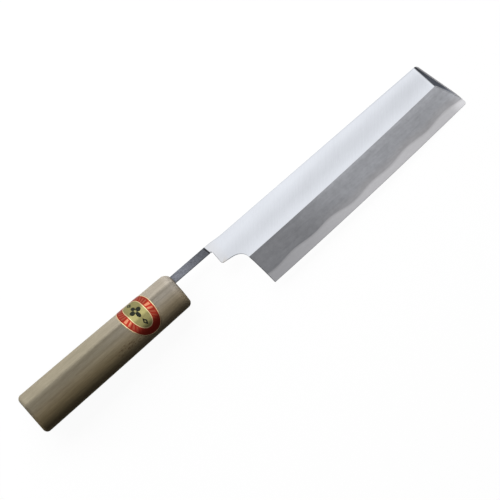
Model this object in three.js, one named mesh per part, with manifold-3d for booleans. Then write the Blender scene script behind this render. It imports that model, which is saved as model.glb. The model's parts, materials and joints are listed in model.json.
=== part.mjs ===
// Usuba: a single-bevel vegetable knife with a wooden handle of D section.
// Millimetres, +Z up. The knife lies bevel up on a board, as it is laid down between cuts.
// In the knife's own frame +X runs from the handle to the tip, with X = 0 at the neck's shoulder,
// +Y points to the spine, with Y = 0 on the spine, and Z = 0 is the plane of the flat back.

import * as THREE from 'three';
import { mergeVertices } from 'three/addons/utils/BufferGeometryUtils.js';
import Module from 'manifold-3d';

const wasm = await Module();
wasm.setup();
const { degToRad, lerp, clamp } = THREE.MathUtils;

// Blade, seen from the bevel side
const neckLength = 17.5; // shoulder to heel corner
const edgeLength = 164.5; // heel corner to tip corner
const heelHeight = 44.9; // spine to edge at the heel
const tipHeight = 38.5; // spine to edge at the tip
const ridgeAtHeel = 22.1; // spine to the bevel's ridge at the heel
const ridgeAtTip = 17; // spine to the bevel's ridge at the tip
const edgeBow = 0.9; // how far edge and ridge bow out between heel and tip

// Blade thickness
const neckThickness = 3.6;
const spineTipThickness = 1.6;
const ridgeHeelThickness = 3.6;
const ridgeTipThickness = 3.2;
const edgeLand = 0.1; // flat left along the cutting edge
const spineEase = 0.3; // chamfer along the spine

// Neck and heel
const neckDepth = 14.6; // spine to underside at the shoulder
const neckRise = 0.8; // lift of the spine at the shoulder
const neckRiseLength = 12;
const shoulderRound = 1.7;
const archStart = 7; // where the underside starts to turn down
const archFall = 0.7; // fall of the underside up to there
const archEnd = 22; // depth at which the turn meets the heel
const archCorner = 0.7; // setback of the turn's corner from the top of the heel
const heelLean = 2; // lead of the heel corner over the top of the heel
const heelPull = 2; // length of the heel curve's first leg over that of the turn's last leg
const heelRound = 0.7;

// Tip: the end leans, turns down towards the edge corner and is ground back to a facet
const tipLean = degToRad(14.25);
const tipRoll = 1.2; // how far the edge corner is set back from the leaning line
const tipRollLength = 9;
const tipSpineRound = 2;
const tipCornerRound = 1.6;
const tipFacetAngle = degToRad(35); // between facet and back
const tipLand = 0.25; // flat left below the facet

// Hollow ground into the back
const hollowDepth = 0.35;
const hollowRim = 3.5;
const hollowFade = 6; // power of its fade towards the heel and the tip

// Edge steel forge-welded on the back, which shows on the bevel as a strip with a wavy border
const steelStart = 6; // from the shoulder
const steelStripHeel = 7;
const steelStripTip = 4.7;
const weldGap = 0.02;
const weldWaves = [
  { height: 0.7, length: 107, phase: -0.9 },
  { height: 0.7, length: 32, phase: 0.1 },
  { height: 0.3, length: 55, phase: 0.4 },
];

// Tang
const tangWidth = 5.4;
const tangThickness = 3;
const tangInside = 82; // length hidden in the handle
const tangEndWidth = 3.2;
const tangEndThickness = 2;
const tangDip = 2.5; // how far its end turns towards the handle's axis
const tangChamfer = 0.4;
const slotClearance = 0.3;

// Handle
const bareTang = 30; // shoulder to handle
const handleLength = 122.8;
const handleDepth = 8.4; // spine to the handle's axis
const buttWidth = 29.3;
const buttThickness = 21.6;
const frontWidth = 25.7;
const frontThickness = 18.6;
const handleBelly = 0.4; // swell of the handle's middle over a straight taper
const buttRound = 3.2;
const frontRoundEdge = 3.6; // on the edge side
const frontRoundSpine = 5.3; // on the spine side
const ridgeAngle = degToRad(62); // place of the ridge round the section, from the spine side
const ridgeSpread = degToRad(30); // to each point where the ridge's flanks leave the oval

// Label wrapped over the handle's ridge
const labelLength = 22.9;
const labelReachSpine = degToRad(80); // reach from the ridge round the spine side
const labelReachEdge = degToRad(82); // reach from the ridge towards the edge side
const labelLean = 1.8; // lead of its lower end over its middle
const labelSetback = 31; // front of the handle to the label's centre
const labelThickness = 0.15;
const labelGap = 0.06;

// Fineness of the facets
const bladeStations = 56;
const flatRows = 4;
const bevelRows = 4;
const curveSegments = 10;
const handleSides = 48;
const handleStations = 5;
const roundSteps = 4;
const labelRows = 29;

// Reach of a cut past the solid that it cuts, and distance at which points are one
const overcut = 10;
const samePoint = 1e-5;

const tipX = neckLength + edgeLength;
const tipTopX = tipX + tipRoll - tipHeight * Math.tan(tipLean);
const handleFront = -bareTang;
const handleButt = handleFront - handleLength;
const handleAxisZ = neckThickness / 2;
const tangEnd = handleFront - tangInside;

// Helpers: grids and rings of points become closed geometries, and these become solids

function closedGeometry(points, faces) {
  const geometry = new THREE.BufferGeometry().setFromPoints(points);
  geometry.setIndex(faces.flat());
  const merged = mergeVertices(geometry, samePoint);
  const kept = [];
  const index = merged.index.array;
  for (let k = 0; k < index.length; k += 3) {
    const [a, b, c] = index.slice(k, k + 3);
    if (a !== b && b !== c && c !== a) kept.push(a, b, c);
  }
  merged.setIndex(kept);
  return merged;
}

// A shell between two grids of the same size: upper(i, j) faces out, and so does lower(i, j).
function gridShell(columns, rows, upper, lower) {
  const points = [];
  for (const surface of [upper, lower]) {
    for (let i = 0; i < columns; i += 1) {
      for (let j = 0; j < rows; j += 1) points.push(surface(i, j));
    }
  }
  const up = (i, j) => i * rows + j;
  const low = (i, j) => columns * rows + up(i, j);
  const faces = [];
  const quad = (a, b, c, d) => faces.push([a, b, c], [a, c, d]);
  for (let i = 0; i < columns - 1; i += 1) {
    for (let j = 0; j < rows - 1; j += 1) {
      quad(up(i, j), up(i, j + 1), up(i + 1, j + 1), up(i + 1, j));
      quad(low(i, j), low(i + 1, j), low(i + 1, j + 1), low(i, j + 1));
    }
    quad(up(i, 0), up(i + 1, 0), low(i + 1, 0), low(i, 0));
    quad(up(i, rows - 1), low(i, rows - 1), low(i + 1, rows - 1), up(i + 1, rows - 1));
  }
  for (let j = 0; j < rows - 1; j += 1) {
    quad(up(0, j), low(0, j), low(0, j + 1), up(0, j + 1));
    quad(up(columns - 1, j), up(columns - 1, j + 1), low(columns - 1, j + 1), low(columns - 1, j));
  }
  return closedGeometry(points, faces);
}

// Rings of as many points each, in order along +X, joined to a body with flat convex ends.
function loft(rings) {
  const sides = rings[0].length;
  const last = (rings.length - 1) * sides;
  const faces = [];
  for (let k = 0; k < rings.length - 1; k += 1) {
    for (let i = 0; i < sides; i += 1) {
      const next = (i + 1) % sides;
      const [a, b] = [k * sides + i, k * sides + next];
      faces.push([a, b, b + sides], [a, b + sides, a + sides]);
    }
  }
  for (let i = 1; i < sides - 1; i += 1) {
    faces.push([0, i + 1, i], [last, last + i, last + i + 1]);
  }
  return closedGeometry(rings.flat(), faces);
}

// An outline cut right through the blade's thickness.
function throughCut(shape) {
  const depth = neckThickness + 2 * overcut;
  const geometry = new THREE.ExtrudeGeometry(shape, { depth, bevelEnabled: false, curveSegments });
  return geometry.translate(0, 0, -overcut);
}

function solid(geometry) {
  const bare = geometry.clone();
  bare.deleteAttribute('normal');
  bare.deleteAttribute('uv');
  const merged = mergeVertices(bare, samePoint);
  return new wasm.Manifold(new wasm.Mesh({
    numProp: 3,
    vertProperties: new Float32Array(merged.attributes.position.array),
    triVerts: new Uint32Array(merged.index.array),
  }));
}

function geometryOf(body) {
  const { vertProperties, triVerts } = body.getMesh();
  const geometry = new THREE.BufferGeometry();
  geometry.setAttribute('position', new THREE.BufferAttribute(vertProperties, 3));
  geometry.setIndex(new THREE.BufferAttribute(triVerts, 1));
  geometry.computeVertexNormals();
  return geometry;
}

// Lines and thicknesses of the blade, each a function of X

const heelToTip = (x) => (x - neckLength) / edgeLength;
const bow = (x) => edgeBow * 4 * heelToTip(x) * (1 - heelToTip(x));
const edgeY = (x) => -lerp(heelHeight, tipHeight, heelToTip(x)) - bow(x);
const ridgeY = (x) => -lerp(ridgeAtHeel, ridgeAtTip, heelToTip(x)) - bow(x);
const ridgeZ = (x) => lerp(ridgeHeelThickness, ridgeTipThickness, heelToTip(x));
const spineZ = (x) => lerp(neckThickness, spineTipThickness, x / tipX);
const spineY = (x) => neckRise * (1 - THREE.MathUtils.smoothstep(x, 0, neckRiseLength));
const tipLineX = (y) => tipTopX - y * Math.tan(tipLean);

// The weld rises and falls along the blade, so that its outcrop on the bevel waves.
function weldZ(x) {
  const waves = weldWaves.map((w) => w.height * Math.sin((2 * Math.PI * x) / w.length + w.phase));
  const strip = waves.reduce((sum, wave) => sum + wave, lerp(steelStripHeel, steelStripTip, heelToTip(x)));
  return edgeLand + ((ridgeZ(x) - edgeLand) * strip) / (ridgeY(x) - edgeY(x));
}

// Depth of the hollow: an arc across the blade that fades out before the heel and the tip.
function hollowZ(x, y) {
  const top = spineY(x) - hollowRim;
  const across = clamp((top - y) / (top - edgeY(x) - hollowRim), 0, 1);
  const from = neckLength + hollowRim;
  const along = clamp((x - from) / (tipLineX(y) - hollowRim - from), 0, 1);
  return hollowDepth * 4 * across * (1 - across) * (1 - (2 * along - 1) ** hollowFade);
}

// Rows across the blade from spine to edge, with the thickness under each.
function bladeRows(x) {
  const spine = spineY(x);
  const ridge = ridgeY(x);
  const edge = edgeY(x);
  const rows = [{ y: spine, top: spineZ(x) - spineEase, bottom: spineEase }];
  const add = (y, top) => rows.push({ y, top, bottom: hollowZ(x, y) });
  const flatTop = (y) => lerp(spineZ(x), ridgeZ(x), (spine - y) / (spine - ridge));
  const bevelTop = (y) => lerp(ridgeZ(x), edgeLand, (ridge - y) / (ridge - edge));
  add(spine - spineEase, flatTop(spine - spineEase));
  for (let k = 0; k <= flatRows; k += 1) {
    const y = lerp(spine - hollowRim, ridge, k / flatRows);
    add(y, flatTop(y));
  }
  for (let k = 1; k <= bevelRows; k += 1) {
    const y = lerp(ridge, edge + hollowRim, k / bevelRows);
    add(y, bevelTop(y));
  }
  add(edge, edgeLand);
  return rows;
}

// The region cut away under the neck and behind the heel.
function heelNotch() {
  const top = new THREE.Vector2(neckLength - heelLean, -archEnd);
  const start = new THREE.Vector2(archStart, -neckDepth - archFall);
  const slope = archFall / (archStart - shoulderRound);
  const corner = new THREE.Vector2(top.x - archCorner, 0);
  corner.y = start.y - slope * (corner.x - start.x);
  const foot = new THREE.Vector2(neckLength, edgeY(neckLength));
  const pull = top.clone().add(top.clone().sub(corner).multiplyScalar(heelPull));
  const below = -heelHeight - overcut;
  const shape = new THREE.Shape();
  shape.moveTo(-overcut, shoulderRound - neckDepth);
  shape.lineTo(0, shoulderRound - neckDepth);
  shape.absarc(shoulderRound, shoulderRound - neckDepth, shoulderRound, Math.PI, 1.5 * Math.PI, false);
  shape.lineTo(start.x, start.y);
  shape.quadraticCurveTo(corner.x, corner.y, top.x, top.y);
  shape.quadraticCurveTo(pull.x, pull.y, foot.x, foot.y + heelRound);
  shape.quadraticCurveTo(foot.x, foot.y, foot.x + heelRound, foot.y);
  shape.lineTo(foot.x + heelRound, below);
  shape.lineTo(-overcut, below);
  shape.closePath();
  return throughCut(shape);
}

// The region cut away past the leaning end of the blade.
function tipTrim() {
  const rollTop = -(tipHeight - tipRollLength);
  const cornerTop = tipCornerRound - tipHeight;
  const cornerX = tipX - tipCornerRound;
  const shape = new THREE.Shape();
  shape.moveTo(tipTopX - tipSpineRound, overcut);
  shape.lineTo(tipTopX - tipSpineRound, 0);
  shape.quadraticCurveTo(tipTopX, 0, tipLineX(-tipSpineRound), -tipSpineRound);
  shape.lineTo(tipLineX(rollTop), rollTop);
  shape.lineTo(tipX, cornerTop);
  shape.quadraticCurveTo(tipX, -tipHeight, cornerX, edgeY(cornerX));
  shape.lineTo(cornerX, -heelHeight - overcut);
  shape.lineTo(tipX + overcut, -heelHeight - overcut);
  shape.lineTo(tipX + overcut, overcut);
  shape.closePath();
  return throughCut(shape);
}

// A block whose lower face is the plane of the tip facet.
function tipGrind() {
  const reach = 4 * overcut;
  const block = new THREE.BoxGeometry(2 * reach, 4 * reach, reach).translate(0, 0, reach / 2);
  block.rotateY(tipFacetAngle).rotateZ(tipLean);
  return block.translate(tipTopX, 0, tipLand);
}

function bladeBillet() {
  const rows = [];
  const lastX = tipX + overcut / 2;
  for (let i = 0; i < bladeStations; i += 1) {
    const x = (lastX * i) / (bladeStations - 1);
    rows.push({ x, across: bladeRows(x) });
  }
  const place = (i, j, side) => new THREE.Vector3(rows[i].x, rows[i].across[j].y, rows[i].across[j][side]);
  return gridShell(
    bladeStations,
    rows[0].across.length,
    (i, j) => place(i, j, 'top'),
    (i, j) => place(i, j, 'bottom'),
  );
}

// Everything on the back's side of the weld, from where the edge steel starts.
function steelSide(gap) {
  const firstX = steelStart - gap;
  const stationX = (i) => lerp(firstX, tipX + overcut, i / (bladeStations - 1));
  const sideY = [overcut, -heelHeight - overcut];
  return gridShell(
    bladeStations,
    sideY.length,
    (i, j) => new THREE.Vector3(stationX(i), sideY[j], weldZ(stationX(i)) + gap),
    (i, j) => new THREE.Vector3(stationX(i), sideY[j], -overcut),
  );
}

// One section of the tang, a rectangle with chamfered corners, or of the slot round it.
function tangRing(x, clearance) {
  const share = clamp((handleFront - x) / tangInside, 0, 1);
  const width = lerp(tangWidth, tangEndWidth, share) / 2 + clearance;
  const thick = lerp(tangThickness, tangEndThickness, share) / 2 + clearance;
  const midY = neckRise - tangWidth / 2 - tangDip * share;
  const corners = [
    [width, -thick + tangChamfer],
    [width, thick - tangChamfer],
    [width - tangChamfer, thick],
    [tangChamfer - width, thick],
    [-width, thick - tangChamfer],
    [-width, tangChamfer - thick],
    [tangChamfer - width, -thick],
    [width - tangChamfer, -thick],
  ];
  return corners.map(([y, z]) => new THREE.Vector3(x, midY + y, handleAxisZ + z));
}

const tang = () => loft([tangEnd, handleFront, shoulderRound].map((x) => tangRing(x, 0)));

function tangSlot() {
  const stations = [tangEnd - slotClearance, handleFront, handleFront + overcut];
  return loft(stations.map((x) => tangRing(x, slotClearance)));
}

// The handle's section is an oval drawn out to a ridge by its two tangents: this is the radius
// at a place round the oval, as a multiple of the oval's own.
function ridgeSwell(angle) {
  const away = Math.abs(THREE.MathUtils.euclideanModulo(angle - ridgeAngle + Math.PI, 2 * Math.PI) - Math.PI);
  return 1 / Math.cos(Math.max(0, ridgeSpread - away));
}

// A point on the handle, drawn in from the surface by inset or standing out from it by proud.
function handlePoint(x, angle, inset = 0, proud = 0) {
  const share = (x - handleButt) / handleLength;
  const belly = handleBelly * 4 * share * (1 - share);
  const halfWidth = (lerp(buttWidth, frontWidth, share) + belly) / 2 - inset;
  const halfThick = (lerp(buttThickness, frontThickness, share) + belly) / 2 - inset;
  const swell = ridgeSwell(angle);
  const out = new THREE.Vector3(0, halfWidth * swell * Math.cos(angle), halfThick * swell * Math.sin(angle));
  out.setLength(out.length() + proud);
  return out.add(new THREE.Vector3(x, -handleDepth, handleAxisZ));
}

// The front's rim is rounded more towards the spine side.
const frontRoundAt = (angle) => lerp(frontRoundEdge, frontRoundSpine, 0.5 + 0.5 * Math.cos(angle));

function handleBody() {
  const ring = (point) => {
    const turn = (i) => ridgeAngle + (2 * Math.PI * i) / handleSides;
    return Array.from({ length: handleSides }, (_, i) => point(turn(i)));
  };
  const rounded = (end, radiusAt, side) => Array.from({ length: roundSteps + 1 }, (_, k) => {
    const bend = (0.5 * Math.PI * k) / roundSteps;
    return ring((angle) => {
      const radius = radiusAt(angle);
      return handlePoint(end - side * radius * (1 - Math.sin(bend)), angle, radius * (1 - Math.cos(bend)));
    });
  });
  const between = Array.from({ length: handleStations }, (_, k) => {
    const share = (k + 1) / (handleStations + 1);
    const x = lerp(handleButt + buttRound, handleFront - frontRoundSpine, share);
    return ring((angle) => handlePoint(x, angle));
  });
  const butt = rounded(handleButt, () => buttRound, -1).reverse();
  return loft([...butt, ...between, ...rounded(handleFront, frontRoundAt, 1)]);
}

// An oval skin over the handle's surface, with its long way round the ridge.
function labelSkin() {
  const middle = handleFront - labelSetback;
  const place = (i, j, proud) => {
    const bend = Math.PI * (j / (labelRows - 1) - 0.5);
    const reach = bend < 0 ? labelReachSpine : labelReachEdge;
    const x = middle + (i - 0.5) * labelLength * Math.cos(bend) + labelLean * Math.sin(bend);
    return handlePoint(x, ridgeAngle + reach * Math.sin(bend), 0, proud);
  };
  return gridShell(
    2,
    labelRows,
    (i, j) => place(i, j, labelGap + labelThickness),
    (i, j) => place(i, j, labelGap),
  );
}

function part(name, geometry, color, roughness, metalness) {
  const mesh = new THREE.Mesh(geometry, new THREE.MeshStandardMaterial({ color, roughness, metalness }));
  mesh.name = name;
  return mesh;
}

const blade = solid(bladeBillet())
  .subtract(solid(heelNotch()))
  .subtract(solid(tipTrim()))
  .subtract(solid(tipGrind()));
const iron = blade.add(solid(tang())).subtract(solid(steelSide(weldGap)));
const steel = blade.intersect(solid(steelSide(0)));
const handle = solid(handleBody()).subtract(solid(tangSlot()));

const knife = new THREE.Group();
knife.add(part('blade_iron', geometryOf(iron), 0xd9dde5, 0.35, 1));
knife.add(part('edge_steel', geometryOf(steel), 0xb4b8bf, 0.3, 1));
knife.add(part('handle', geometryOf(handle), 0xa3997f, 0.7, 0));
knife.add(part('label', geometryOf(solid(labelSkin())), 0xb03a2a, 0.4, 0.3));

// Laid down, the knife touches the board along the back's leaning end line and under the
// handle's front rim, and these three points give the board's plane.
const under = -Math.PI / 2;
const underRim = handlePoint(handleFront - frontRoundAt(under), under);
const endLow = -(tipHeight - tipRollLength);
const endPoint = (y) => new THREE.Vector3(tipLineX(y), y, 0);
const board = new THREE.Plane().setFromCoplanarPoints(underRim, endPoint(endLow), endPoint(-tipSpineRound));
knife.quaternion.setFromUnitVectors(board.normal, new THREE.Vector3(0, 0, 1));

// The origin is the middle of the knife's box, on the board.
const box = new THREE.Box3().setFromObject(knife, true);
const middle = box.getCenter(new THREE.Vector3());
knife.position.set(-middle.x, -middle.y, -box.min.z);

const usuba = new THREE.Group();
usuba.add(knife);

export default usuba;
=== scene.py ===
"""Usuba knife: the looks of a single-bevel vegetable knife, laid out as an add-on and run as a script.

The knife's own axes are used throughout, in millimetres: +X from handle to tip with X = 0 at the neck's
shoulder, +Y towards the spine with Y = 0 on the spine, and Z = 0 on the flat back, bevel up.
"""

import json
import math
from types import SimpleNamespace

import bpy
import numpy as np
from bpy.props import FloatProperty, FloatVectorProperty, PointerProperty
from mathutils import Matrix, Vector


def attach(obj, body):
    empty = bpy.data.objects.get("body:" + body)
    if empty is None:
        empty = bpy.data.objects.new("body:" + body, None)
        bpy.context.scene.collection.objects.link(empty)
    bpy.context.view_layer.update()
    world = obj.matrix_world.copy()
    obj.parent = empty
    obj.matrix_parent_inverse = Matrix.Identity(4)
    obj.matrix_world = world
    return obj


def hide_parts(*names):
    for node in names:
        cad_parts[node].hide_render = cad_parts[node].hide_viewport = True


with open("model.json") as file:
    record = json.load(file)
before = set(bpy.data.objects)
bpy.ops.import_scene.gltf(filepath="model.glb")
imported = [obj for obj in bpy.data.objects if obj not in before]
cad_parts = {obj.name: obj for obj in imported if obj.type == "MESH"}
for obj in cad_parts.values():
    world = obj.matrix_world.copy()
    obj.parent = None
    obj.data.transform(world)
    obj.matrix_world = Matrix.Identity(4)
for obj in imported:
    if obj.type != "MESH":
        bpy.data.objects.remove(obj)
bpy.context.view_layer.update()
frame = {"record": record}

bl_info = {
    "name": "Usuba Knife",
    "version": (1, 0, 0),
    "blender": (4, 5, 0),
    "location": "View3D > Sidebar > Usuba",
    "description": "Builds a vegetable knife with a laminated single-bevel blade and a wooden handle",
    "category": "Object",
}

BODY = "root"
MM = 0.001
BACK = next(m for m in frame["record"]["mounts"] if m["name"] == "back_rim")
WELD_WAVES = ((0.7, 107, -0.9), (0.7, 32, 0.1), (0.3, 55, 0.4))


# Properties: what a user would change

def size(name, description, millimetres):
    """A length property, given in millimetres and kept in metres."""
    return FloatProperty(
        name=name, description=description, default=millimetres * MM, unit="LENGTH", precision=5
    )


def angle(name, description, degrees):
    """An angle property, given in degrees and kept in radians."""
    return FloatProperty(
        name=name, description=description, default=math.radians(degrees), unit="ROTATION", precision=4
    )


def number(name, description, value):
    """A plain number."""
    return FloatProperty(name=name, description=description, default=value, precision=4)


def colour(name, description, red, green, blue):
    """A colour property in linear light."""
    return FloatVectorProperty(
        name=name, description=description, default=(red, green, blue), subtype="COLOR", size=3, min=0, max=1
    )


class UsubaBladeSizes(bpy.types.PropertyGroup):
    """Sizes of the blade and the neck"""

    neck_length: size("Neck length", "Shoulder to heel corner", 17.5)
    edge_length: size("Edge length", "Heel corner to tip corner", 164.5)
    heel_height: size("Heel height", "Spine to edge at the heel", 44.9)
    tip_height: size("Tip height", "Spine to edge at the tip", 38.5)
    ridge_at_heel: size("Ridge at heel", "Spine to the bevel's ridge at the heel", 22.1)
    ridge_at_tip: size("Ridge at tip", "Spine to the bevel's ridge at the tip", 17.0)
    edge_bow: size("Edge bow", "How far edge and ridge bow out between heel and tip", 0.9)
    neck_thickness: size("Neck thickness", "Thickness at the shoulder", 3.6)
    spine_tip_thickness: size("Spine thickness at tip", "Thickness of the spine at the tip", 1.6)
    ridge_heel_thickness: size("Ridge thickness at heel", "Thickness under the ridge at the heel", 3.6)
    ridge_tip_thickness: size("Ridge thickness at tip", "Thickness under the ridge at the tip", 3.2)
    edge_land: size("Edge land", "Flat left along the cutting edge", 0.1)
    spine_ease: size("Spine ease", "Round along the spine's two corners", 0.3)
    side_ease: size("Side ease", "Round along the heel and the neck's underside", 0.3)
    ridge_soft: size("Ridge softness", "Height over which flat and bevel run into each other", 0.03)
    neck_depth: size("Neck depth", "Spine to underside at the shoulder", 14.6)
    neck_rise: size("Neck rise", "Lift of the spine at the shoulder", 0.8)
    neck_rise_length: size("Neck rise length", "Length over which the spine lifts", 12.0)
    shoulder_round: size("Shoulder round", "Radius of the neck's lower corner", 1.7)
    arch_start: size("Arch start", "Where the underside starts to turn down", 7.0)
    arch_fall: size("Arch fall", "Fall of the underside up to there", 0.7)
    arch_corner: size("Arch corner", "Setback of the turn's corner from the top of the heel", 0.7)
    heel_lean: size("Heel lean", "Lead of the heel corner over the top of the heel", 2.0)
    heel_round: size("Heel round", "Round of the heel corner", 0.7)
    tip_lean: angle("Tip lean", "Lean of the blade's end", 14.25)
    tip_roll: size("Tip roll", "Setback of the edge corner from the leaning line", 1.2)
    tip_roll_length: size("Tip roll length", "Height of the turned-down corner", 9.0)
    tip_roll_soft: size("Tip roll softness", "Half length of the bend where the end turns down", 2.0)
    tip_spine_round: size("Tip spine round", "Round of the tip's corner at the spine", 2.0)
    tip_corner_round: size("Tip corner round", "Round of the tip's corner at the edge", 1.6)
    facet_angle: angle("Facet angle", "Angle between the tip's facet and the back", 35.0)
    facet_land: size("Facet land", "Flat left below the facet", 0.25)
    facet_soft: size("Facet softness", "Height over which blade and facet run into each other", 0.12)
    hollow_depth: size("Hollow depth", "Depth of the hollow in the back", 0.35)
    hollow_rim: size("Hollow rim", "Flat rim left round the hollow", 3.5)
    hollow_fade: number("Hollow fade", "Power of the hollow's fade towards heel and tip", 6.0)
    steel_start: size("Steel start", "Shoulder to where the edge steel starts", 6.0)
    strip_at_heel: size("Steel strip at heel", "Width of the steel on the bevel at the heel", 7.0)
    strip_at_tip: size("Steel strip at tip", "Width of the steel on the bevel at the tip", 4.7)
    weld_gap: size("Weld gap", "Gap that stands for the weld", 0.02)
    feather: size("Feather", "Thickness of the iron where it runs out", 0.006)


class UsubaTangSizes(bpy.types.PropertyGroup):
    """Sizes of the tang"""

    width: size("Width", "Width of the bare tang", 5.4)
    thickness: size("Thickness", "Thickness of the bare tang", 3.0)
    inside: size("Length inside", "Length hidden in the handle", 82.0)
    end_width: size("End width", "Width at the hidden end", 3.2)
    end_thickness: size("End thickness", "Thickness at the hidden end", 2.0)
    dip: size("Dip", "How far the end turns towards the handle's axis", 2.5)
    chamfer: size("Chamfer", "Chamfer along the tang's corners", 0.4)
    root: size("Root length", "Length over which the tang widens into the neck", 1.1)
    root_start: size("Root start", "Shoulder to where the tang starts to thicken", 4.5)
    root_end: size("Root end", "Shoulder to where the tang is as thick as the neck", 2.0)
    root_round: size("Root round", "Drop of the lower corner where the tang meets the shoulder", 0.5)


class UsubaHandleSizes(bpy.types.PropertyGroup):
    """Sizes of the handle"""

    bare_tang: size("Bare tang", "Shoulder to handle", 30.0)
    length: size("Length", "Length of the handle", 122.8)
    depth: size("Depth", "Spine to the handle's axis", 8.4)
    butt_width: size("Butt width", "Width at the butt", 29.3)
    butt_thickness: size("Butt thickness", "Thickness at the butt", 21.6)
    front_width: size("Front width", "Width at the front", 25.7)
    front_thickness: size("Front thickness", "Thickness at the front", 18.6)
    belly: size("Belly", "Swell of the middle over a straight taper", 0.4)
    butt_round: size("Butt round", "Round of the butt's rim", 3.2)
    front_round_edge: size("Front round, edge side", "Round of the front's rim on the edge side", 3.6)
    front_round_spine: size("Front round, spine side", "Round of the front's rim on the spine side", 5.3)
    front_rim: size("Front rim", "Depth of the front's rim that goes round outside the slot", 2.4)
    ridge_angle: angle("Ridge angle", "Place of the ridge round the section, from the spine side", 62.0)
    ridge_spread: angle("Ridge spread", "From the ridge to where its flanks leave the oval", 30.0)
    ridge_soft: angle("Ridge softness", "Angle over which the ridge is rounded", 3.0)
    slot_clearance: size("Slot clearance", "Gap round the tang in its slot", 0.25)
    skin: size("Skin", "How far the surface stays inside the block it is cut from", 0.03)


class UsubaLabelSizes(bpy.types.PropertyGroup):
    """Sizes of the label"""

    length: size("Length", "Length along the handle", 22.9)
    arc: size("Height", "Height round the handle, laid flat", 34.0)
    reach_spine: angle("Reach to spine side", "Reach from the ridge round the spine side", 80.0)
    reach_edge: angle("Reach to edge side", "Reach from the ridge towards the edge side", 82.0)
    lean: size("Lean", "Lead of its lower end over its middle", 1.8)
    setback: size("Setback", "Front of the handle to the label's centre", 31.0)
    thickness: size("Thickness", "Thickness of the foil", 0.15)
    gap: size("Gap", "Height of the glue under it", 0.06)
    border: size("Border", "Width of the coloured border", 5.6)
    rim: size("Rim", "Width of the pale line round the border", 0.5)


class UsubaFinish(bpy.types.PropertyGroup):
    """Colours of the knife's surfaces"""

    flat: colour("Flat", "Polished flat above the ridge", 0.758, 0.785, 0.84)
    bevel: colour("Bevel at heel", "Misty iron of the bevel, towards the heel", 0.302, 0.306, 0.325)
    # Painted reflection: the bevel brightens from the heel's tone to this paler one towards the tip.
    bevel_tip_lit: colour("Bevel at tip", "Misty iron of the bevel, towards the tip", 0.468, 0.478, 0.51)
    facet: colour("Facet", "Ground facet at the tip", 0.21, 0.226, 0.27)
    # Colour of the painted highlights along the ridge and the facet's arris.
    arris_glint: colour("Polish", "Arrises and corners burnished by the stones", 0.80, 0.82, 0.86)
    weld_haze: colour("Weld haze", "Warm haze of the iron near the weld", 0.5, 0.455, 0.43)
    corner: colour("Corner", "Shaded corners of the heel and the neck", 0.12, 0.125, 0.14)
    # Painted highlight on the neck's flat by the shoulder.
    neck: colour("Neck", "Paler flat of the neck", 0.74, 0.735, 0.74)
    neck_warm: colour("Warm neck", "Warm tint at the neck's lower corner", 0.66, 0.61, 0.54)
    # Painted shadow at the tang's step into the neck.
    skin_end_shadow: colour("Skin's end", "Dark line where the forge skin ends", 0.02, 0.02, 0.022)
    skin: colour("Forge skin", "Dark skin of the tang", 0.265, 0.278, 0.32)
    steel: colour("Steel at heel", "Edge steel on the bevel, towards the heel", 0.448, 0.447, 0.466)
    # Painted reflection: the strip brightens from the heel's tone to this paler one towards the tip.
    steel_tip_lit: colour("Steel at tip", "Edge steel on the bevel, towards the tip", 0.69, 0.685, 0.707)
    back: colour("Back", "Hollow-ground back", 0.62, 0.635, 0.66)
    wood: colour("Wood", "Pale wood of the handle", 0.40, 0.355, 0.262)
    # Painted light: the wood is paler and pinker towards the front.
    wood_front_lit: colour("Front wood", "Paler, pinker wood towards the front", 0.515, 0.462, 0.38)
    wood_dark: colour("Dark wood", "Darker streaks and late wood", 0.19, 0.15, 0.10)
    # Colour of the painted highlight below the ridge near the front and round the front's rim.
    wood_pale_highlight: colour("Rubbed wood", "Pale wood of the ridge and the front's rim", 0.76, 0.69, 0.6)
    scuff: colour("Scuffs", "Dents and scuffs on the edge side", 0.17, 0.095, 0.045)
    # Painted shade: the near-black of the slot and its mouth.
    char: colour("Burned wood", "Wood burned by the tang at the mouth of the slot", 0.012, 0.01, 0.008)
    border: colour("Label border", "Border of the label", 0.34, 0.028, 0.016)
    bar: colour("Label bars", "Pale bars across the label's border", 0.55, 0.24, 0.13)
    foil: colour("Label foil", "Foil in the middle of the label", 0.3, 0.272, 0.115)
    gold: colour("Label gold", "Pale lines of the label", 0.78, 0.58, 0.33)
    ink: colour("Label ink", "Motif in the middle of the label", 0.02, 0.022, 0.015)


class UsubaStage(bpy.types.PropertyGroup):
    """Place of the knife, camera, lights and floor"""

    origin: FloatVectorProperty(
        name="Origin",
        description="Where the spine's corner at the shoulder lies, on the plane of the back",
        default=(-14.49562 * MM, 19.31622 * MM, 6.25711 * MM),
        subtype="TRANSLATION",
        size=3,
        precision=6,
    )
    view_width: size("View width", "Width of the picture at the knife", 313.7)
    view_x: size("View centre X", "Middle of the picture along the knife", 4.36)
    view_y: size("View centre Y", "Middle of the picture across the knife", 0.05)
    view_turn: angle("View turn", "Turn of the picture about the vertical", -40.89)
    distance: size("Distance", "Camera to knife", 6000.0)
    sky: number("Sky", "Brightness of the ceiling in reflections", 1.12)
    fill: number("Fill", "Brightness of the ceiling as a light", 0.22)
    horizon: number("Horizon", "Brightness of the studio's dark walls as a light", 0.045)
    walls: number("Walls", "Brightness of the studio's walls in reflections", 0.3)
    spine_wall: number("Spine-side wall", "Brightness of the wall behind the lamp in reflections", 0.75)
    key: number("Key", "Power of the lamp on the spine side, in watts", 16.0)
    floor: number("Floor", "Grey of the floor as a reflector of light", 0.1)
    floor_glow: number("Floor glow", "Part of the floor's white that shadows don't dim", 0.95)


# Sums used by several shapes

def lerp(a, b, t):
    """The value a share t of the way from a to b."""
    return a + (b - a) * t


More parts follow.
